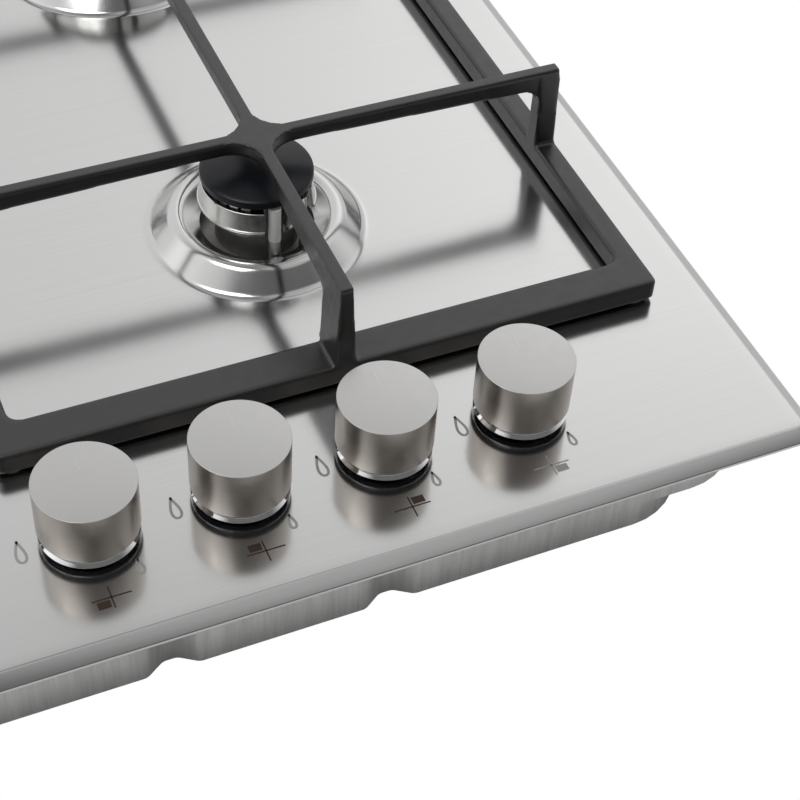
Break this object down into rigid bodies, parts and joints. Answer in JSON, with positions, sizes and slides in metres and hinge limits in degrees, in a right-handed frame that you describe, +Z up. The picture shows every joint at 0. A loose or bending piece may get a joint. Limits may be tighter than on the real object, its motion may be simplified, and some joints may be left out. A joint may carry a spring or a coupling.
{
  "type": "gas cooktop",
  "caption": "Built-in stainless gas cooktop with burners, cast pan supports and push-and-turn knobs along the front, over a galvanised tray.",
  "frame": {"origin": "middle of the tray's underside, which is the lowest level of the appliance", "axes": "+Z up, knobs along the front edge on -Y, +X to the right seen from the front"},
  "size_m": [0.59, 0.51, 0.0848],
  "materials": {
    "brushed_stainless": "brushed",
    "galvanised_steel": "spangled",
    "cast_iron": "matt enamel",
    "black_enamel": "satin enamel",
    "cast_aluminium": "satin",
    "polished_aluminium": "polished",
    "chrome": "polished",
    "knob_metal": "satin",
    "brass": "machined",
    "black_rubber": "matt",
    "clear_rubber": "translucent",
    "zinc_steel": "zinc plated",
    "white_ceramic": "glazed",
    "black_plastic": "moulded",
    "white_plastic": "moulded"
  },
  "bodies": {
    "housing": {"top_panel": "brushed_stainless", "bottom_tray": "galvanised_steel", "worktop_seal": "black_rubber", "fixing_clamps": "zinc_steel", "housing_screws": "zinc_steel", "gas_manifold": "zinc_steel", "gas_inlet_union": "brass", "manifold_saddles": "zinc_steel", "gas_injectors": "brass", "pipe_nuts": "brass", "igniter_module": "white_plastic", "terminal_block": "white_plastic", "cable_gland": "black_plastic", "knob_seals": "black_rubber", "spark_electrodes": "white_ceramic", "thermocouples": "zinc_steel", "valve_body_1": "cast_aluminium", "valve_body_2": "cast_aluminium", "valve_body_3": "cast_aluminium", "valve_body_4": "cast_aluminium", "gas_pipe_front_right": "cast_aluminium", "gas_pipe_rear_right": "cast_aluminium", "gas_pipe_rear_left": "cast_aluminium", "gas_pipe_front_left": "cast_aluminium", "burner_cup_front_right": "cast_aluminium", "burner_cup_rear_right": "cast_aluminium", "burner_cup_rear_left": "cast_aluminium", "burner_cup_front_left": "cast_aluminium"},
    "crown_front_right": {"burner_crown_front_right": "polished_aluminium"},
    "cap_front_right": {"burner_cap_front_right": "black_enamel"},
    "crown_rear_right": {"burner_crown_rear_right": "polished_aluminium"},
    "cap_rear_right": {"burner_cap_rear_right": "black_enamel"},
    "crown_rear_left": {"burner_crown_rear_left": "polished_aluminium"},
    "cap_rear_left": {"burner_cap_rear_left": "black_enamel"},
    "crown_front_left": {"burner_crown_front_left": "polished_aluminium"},
    "cap_front_left": {"burner_cap_front_left": "black_enamel"},
    "tap_1": {"valve_plug_1": "brass", "valve_spring_1": "zinc_steel"},
    "control_1": {"valve_spindle_1": "zinc_steel", "knob_1": "knob_metal", "knob_ring_1": "chrome"},
    "tap_2": {"valve_plug_2": "brass", "valve_spring_2": "zinc_steel"},
    "control_2": {"valve_spindle_2": "zinc_steel", "knob_2": "knob_metal", "knob_ring_2": "chrome"},
    "tap_3": {"valve_plug_3": "brass", "valve_spring_3": "zinc_steel"},
    "control_3": {"valve_spindle_3": "zinc_steel", "knob_3": "knob_metal", "knob_ring_3": "chrome"},
    "tap_4": {"valve_plug_4": "brass", "valve_spring_4": "zinc_steel"},
    "control_4": {"valve_spindle_4": "zinc_steel", "knob_4": "knob_metal", "knob_ring_4": "chrome"},
    "support_right": {"pan_support_right": "cast_iron", "support_feet_right": "clear_rubber"},
    "support_left": {"pan_support_left": "cast_iron", "support_feet_left": "clear_rubber"}
  },
  "joints": [
    {"name": "burner_crown_lift_front_right", "type": "slide", "parent": "housing", "child": "crown_front_right", "axis": [0, 0, 1], "range_m": [0, 0.0045]},
    {"name": "burner_cap_lift_front_right", "type": "slide", "parent": "crown_front_right", "child": "cap_front_right", "axis": [0, 0, 1], "range_m": [0, 0.0045]},
    {"name": "burner_crown_lift_rear_right", "type": "slide", "parent": "housing", "child": "crown_rear_right", "axis": [0, 0, 1], "range_m": [0, 0.0045]},
    {"name": "burner_cap_lift_rear_right", "type": "slide", "parent": "crown_rear_right", "child": "cap_rear_right", "axis": [0, 0, 1], "range_m": [0, 0.0045]},
    {"name": "burner_crown_lift_rear_left", "type": "slide", "parent": "housing", "child": "crown_rear_left", "axis": [0, 0, 1], "range_m": [0, 0.0045]},
    {"name": "burner_cap_lift_rear_left", "type": "slide", "parent": "crown_rear_left", "child": "cap_rear_left", "axis": [0, 0, 1], "range_m": [0, 0.0045]},
    {"name": "burner_crown_lift_front_left", "type": "slide", "parent": "housing", "child": "crown_front_left", "axis": [0, 0, 1], "range_m": [0, 0.0045]},
    {"name": "burner_cap_lift_front_left", "type": "slide", "parent": "crown_front_left", "child": "cap_front_left", "axis": [0, 0, 1], "range_m": [0, 0.0045]},
    {"name": "knob_1_turn", "type": "hinge", "parent": "housing", "child": "tap_1", "pos_m": [0.027, -0.2044, 0.038], "axis": [0, 0, 1], "range_deg": [0, 210]},
    {"name": "knob_1_push", "type": "slide", "parent": "tap_1", "child": "control_1", "axis": [0, 0, -1], "range_m": [0, 0.002], "stiffness_N_per_m": 2500, "springref_m": -0.0012, "deforming": ["valve_spring_1"]},
    {"name": "knob_2_turn", "type": "hinge", "parent": "housing", "child": "tap_2", "pos_m": [0.082, -0.2044, 0.038], "axis": [0, 0, 1], "range_deg": [0, 210]},
    {"name": "knob_2_push", "type": "slide", "parent": "tap_2", "child": "control_2", "axis": [0, 0, -1], "range_m": [0, 0.002], "stiffness_N_per_m": 2500, "springref_m": -0.0012, "deforming": ["valve_spring_2"]},
    {"name": "knob_3_turn", "type": "hinge", "parent": "housing", "child": "tap_3", "pos_m": [0.137, -0.2044, 0.038], "axis": [0, 0, 1], "range_deg": [0, 210]},
    {"name": "knob_3_push", "type": "slide", "parent": "tap_3", "child": "control_3", "axis": [0, 0, -1], "range_m": [0, 0.002], "stiffness_N_per_m": 2500, "springref_m": -0.0012, "deforming": ["valve_spring_3"]},
    {"name": "knob_4_turn", "type": "hinge", "parent": "housing", "child": "tap_4", "pos_m": [0.192, -0.2044, 0.038], "axis": [0, 0, 1], "range_deg": [0, 210]},
    {"name": "knob_4_push", "type": "slide", "parent": "tap_4", "child": "control_4", "axis": [0, 0, -1], "range_m": [0, 0.002], "stiffness_N_per_m": 2500, "springref_m": -0.0012, "deforming": ["valve_spring_4"]},
    {"name": "pan_support_lift_right", "type": "slide", "parent": "housing", "child": "support_right", "axis": [0, 0, 1], "range_m": [0, 0.06]},
    {"name": "pan_support_lift_left", "type": "slide", "parent": "housing", "child": "support_left", "axis": [0, 0, 1], "range_m": [0, 0.06]}
  ]
}
